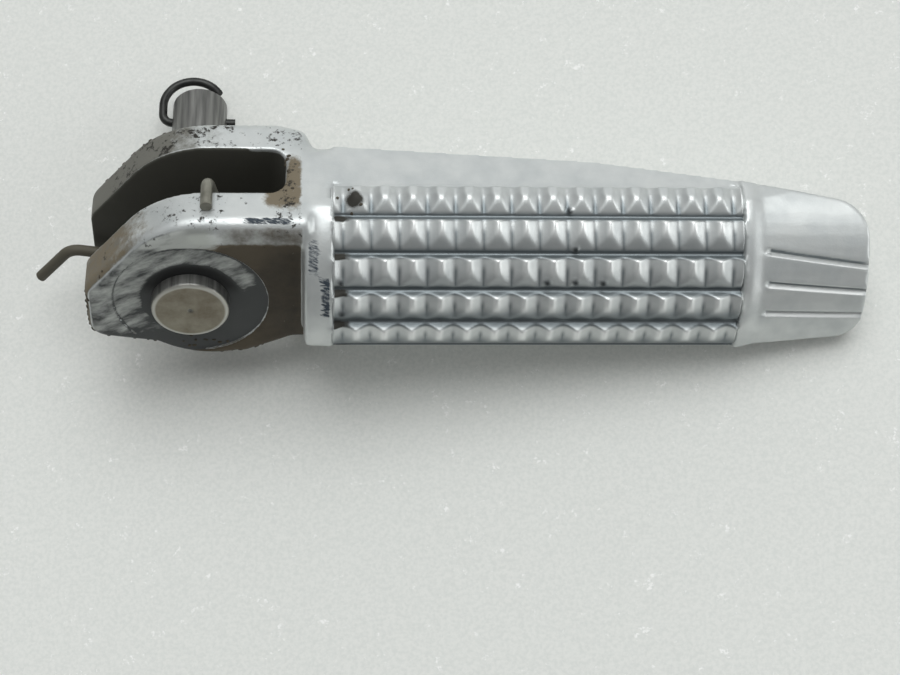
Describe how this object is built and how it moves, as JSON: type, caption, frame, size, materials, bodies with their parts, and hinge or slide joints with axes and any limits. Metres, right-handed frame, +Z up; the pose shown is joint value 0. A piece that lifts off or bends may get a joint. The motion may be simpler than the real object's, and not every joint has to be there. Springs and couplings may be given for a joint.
{
  "type": "motorcycle footpeg",
  "caption": "Folding rider's footpeg: cast clevis and toothed tread bar in one piece, on a headed pivot pin held by a wire ring clip, with a torsion return spring between the ears.",
  "frame": {"origin": "on the pivot pin's axis, midway between the two ears of the clevis", "axes": "+X out along the bar to its tip, +Z up out of the tread's crown, +Y to the rear; the pin leans 45 degrees from +Z towards -Y"},
  "size_m": [0.1302, 0.0441, 0.0445],
  "materials": {
    "cast_alloy": "satin silver casting, worn and dirty at the clevis",
    "pin_steel": "dull turned steel with grime",
    "spring_steel": "dull drawn wire",
    "clip_steel": "dark oiled wire"
  },
  "bodies": {
    "pivot": {"pivot_pin": "pin_steel", "ring_clip": "clip_steel"},
    "footpeg": {"footpeg_bar": "cast_alloy", "return_spring": "spring_steel"}
  },
  "joints": [
    {"name": "fold", "type": "hinge", "parent": "pivot", "child": "footpeg", "pos_m": [0, 0, 0], "axis": [0, -0.7071, 0.7071], "range_deg": [0, 75], "stiffness_Nm_per_rad": 0.25, "springref_deg": -45.84}
  ]
}
